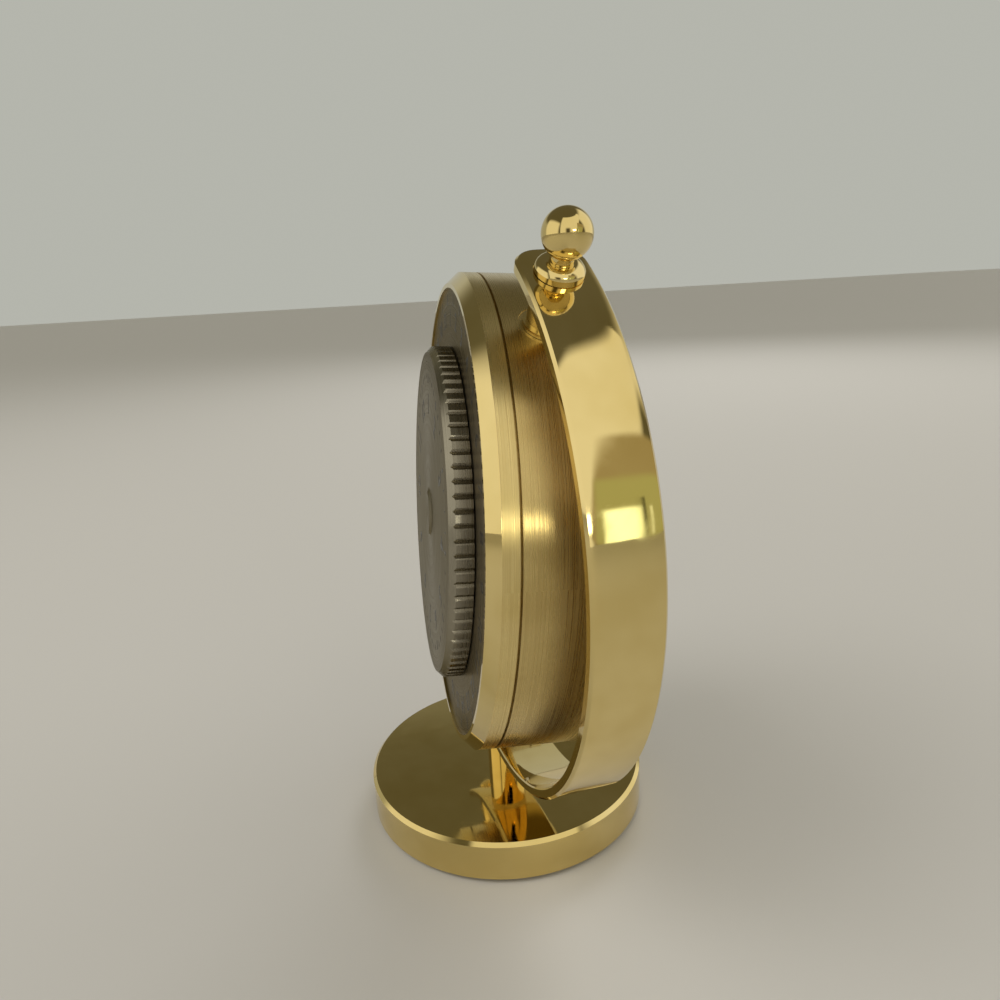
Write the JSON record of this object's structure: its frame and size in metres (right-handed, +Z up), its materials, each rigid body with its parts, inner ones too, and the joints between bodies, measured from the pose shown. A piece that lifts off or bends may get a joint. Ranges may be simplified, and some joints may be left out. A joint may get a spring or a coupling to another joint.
{
  "type": "desk clock with calendar",
  "caption": "Brass desk clock: a drum with a coin-edge calendar disc on one face and a quartz dial on the other swivels in a tilted C-shaped arm on a round base.",
  "frame": {"origin": "centre of the underside of the round base", "axes": "+Z up, the arm lies in the XZ plane and bulges to +X, the calendar faces -Y and the clock faces +Y"},
  "size_m": [0.0834, 0.0526, 0.1056],
  "materials": {
    "polished_brass": "mirror polished, lacquered",
    "brushed_brass": "lathe brushed round the rim, satin",
    "bezel_brass": "brushed rim with a mirror polished chamfer",
    "bearing_brass": "turned, plain",
    "steel": "plain",
    "cup_steel": "satin",
    "battery_steel": "bright",
    "silvered_plate": "satin, circular grain, printed marks",
    "silvered_disc": "satin, coin edge",
    "silvered_face": "satin, printed marks",
    "glass": "clear mineral glass",
    "gasket": "matt",
    "pad": "matt felt-like",
    "dial_paint": "satin cream with printed numerals",
    "hand_black": "semi gloss",
    "movement_plastic": "moulded",
    "wheel_plastic": "moulded",
    "magnet": "plain",
    "copper_wire": "enamelled winding",
    "board": "plain",
    "chip": "plain"
  },
  "bodies": {
    "stand": {"base_disc": "polished_brass", "base_pad": "pad", "base_screw": "steel", "stem": "polished_brass", "arm_screw": "steel", "arm": "polished_brass", "finial": "polished_brass", "lower_pivot_screw": "polished_brass", "upper_spacer": "polished_brass", "lower_spacer": "polished_brass", "upper_washer": "bearing_brass", "lower_washer": "bearing_brass"},
    "head": {"drum_case": "brushed_brass", "upper_bush": "bearing_brass", "lower_bush": "bearing_brass", "bezel_screws": "steel", "calendar_bezel": "bezel_brass", "calendar_plate": "silvered_plate", "plate_bush": "bearing_brass", "spindle_spring_washer": "steel"},
    "calendar": {"calendar_disc": "silvered_disc", "disc_face": "silvered_face", "disc_spindle": "silvered_disc", "spindle_clip": "steel"},
    "insert": {"clock_bezel": "bezel_brass", "clock_glass": "glass", "glass_gasket": "gasket", "insert_cup": "cup_steel", "grip_ring": "gasket", "dial": "dial_paint", "dial_ring": "bearing_brass", "movement_case": "movement_plastic", "centre_nut": "bearing_brass", "movement_cover": "movement_plastic", "stator": "steel", "coil": "copper_wire", "circuit_board": "board", "clock_chip": "chip", "quartz_crystal": "steel", "battery": "battery_steel", "battery_contact": "steel", "battery_cap": "movement_plastic"},
    "minute": {"minute_arbor": "bearing_brass", "minute_hand": "hand_black"},
    "hour": {"hour_wheel": "wheel_plastic", "hour_hand": "hand_black"},
    "motion": {"motion_wheel": "wheel_plastic", "setting_knob": "movement_plastic"},
    "second": {"second_wheel": "wheel_plastic", "second_hand": "hand_black"},
    "third": {"third_wheel": "wheel_plastic"},
    "centre": {"centre_wheel": "wheel_plastic"},
    "step": {"step_wheel": "wheel_plastic"},
    "rotor": {"rotor": "magnet"}
  },
  "joints": [
    {"name": "head_swivel", "type": "hinge", "parent": "stand", "child": "head", "pos_m": [0.012, 0, 0.06167], "axis": [0.585, 0, 0.8111], "continuous": true},
    {"name": "calendar_turn", "type": "hinge", "parent": "head", "child": "calendar", "pos_m": [0.012, 0, 0.06167], "axis": [0.0988, 0.9925, -0.0713], "continuous": true},
    {"name": "insert_pull", "type": "slide", "parent": "head", "child": "insert", "axis": [0.0988, 0.9925, -0.0713], "range_m": [0, 0.0125]},
    {"name": "minute_turn", "type": "hinge", "parent": "insert", "child": "minute", "pos_m": [0.012, 0, 0.06167], "axis": [0.0988, 0.9925, -0.0713], "continuous": true},
    {"name": "hour_turn", "type": "hinge", "parent": "insert", "child": "hour", "pos_m": [0.012, 0, 0.06167], "axis": [0.0988, 0.9925, -0.0713], "continuous": true},
    {"name": "motion_turn", "type": "hinge", "parent": "insert", "child": "motion", "pos_m": [0.01916, -0.00071, 0.0617], "axis": [0.0988, 0.9925, -0.0713], "continuous": true},
    {"name": "second_turn", "type": "hinge", "parent": "insert", "child": "second", "pos_m": [0.012, 0, 0.06167], "axis": [0.0988, 0.9925, -0.0713], "continuous": true},
    {"name": "third_turn", "type": "hinge", "parent": "insert", "child": "third", "pos_m": [0.00523, 0.00067, 0.06165], "axis": [0.0988, 0.9925, -0.0713], "continuous": true},
    {"name": "centre_turn", "type": "hinge", "parent": "insert", "child": "centre", "pos_m": [0.012, 0, 0.06167], "axis": [0.0988, 0.9925, -0.0713], "continuous": true},
    {"name": "step_turn", "type": "hinge", "parent": "insert", "child": "step", "pos_m": [0.01198, -0.00034, 0.05689], "axis": [0.0988, 0.9925, -0.0713], "continuous": true},
    {"name": "rotor_turn", "type": "hinge", "parent": "insert", "child": "rotor", "pos_m": [0.01616, -0.00076, 0.0569], "axis": [0.0988, 0.9925, -0.0713], "continuous": true}
  ],
  "couplings": [
    {"joint": "hour_turn", "follows": "minute_turn", "ratio": 0.083333},
    {"joint": "motion_turn", "follows": "minute_turn", "ratio": -0.33333},
    {"joint": "third_turn", "follows": "second_turn", "ratio": -0.13333},
    {"joint": "centre_turn", "follows": "second_turn", "ratio": 0.016667},
    {"joint": "step_turn", "follows": "second_turn", "ratio": -5},
    {"joint": "rotor_turn", "follows": "second_turn", "ratio": 30}
  ]
}
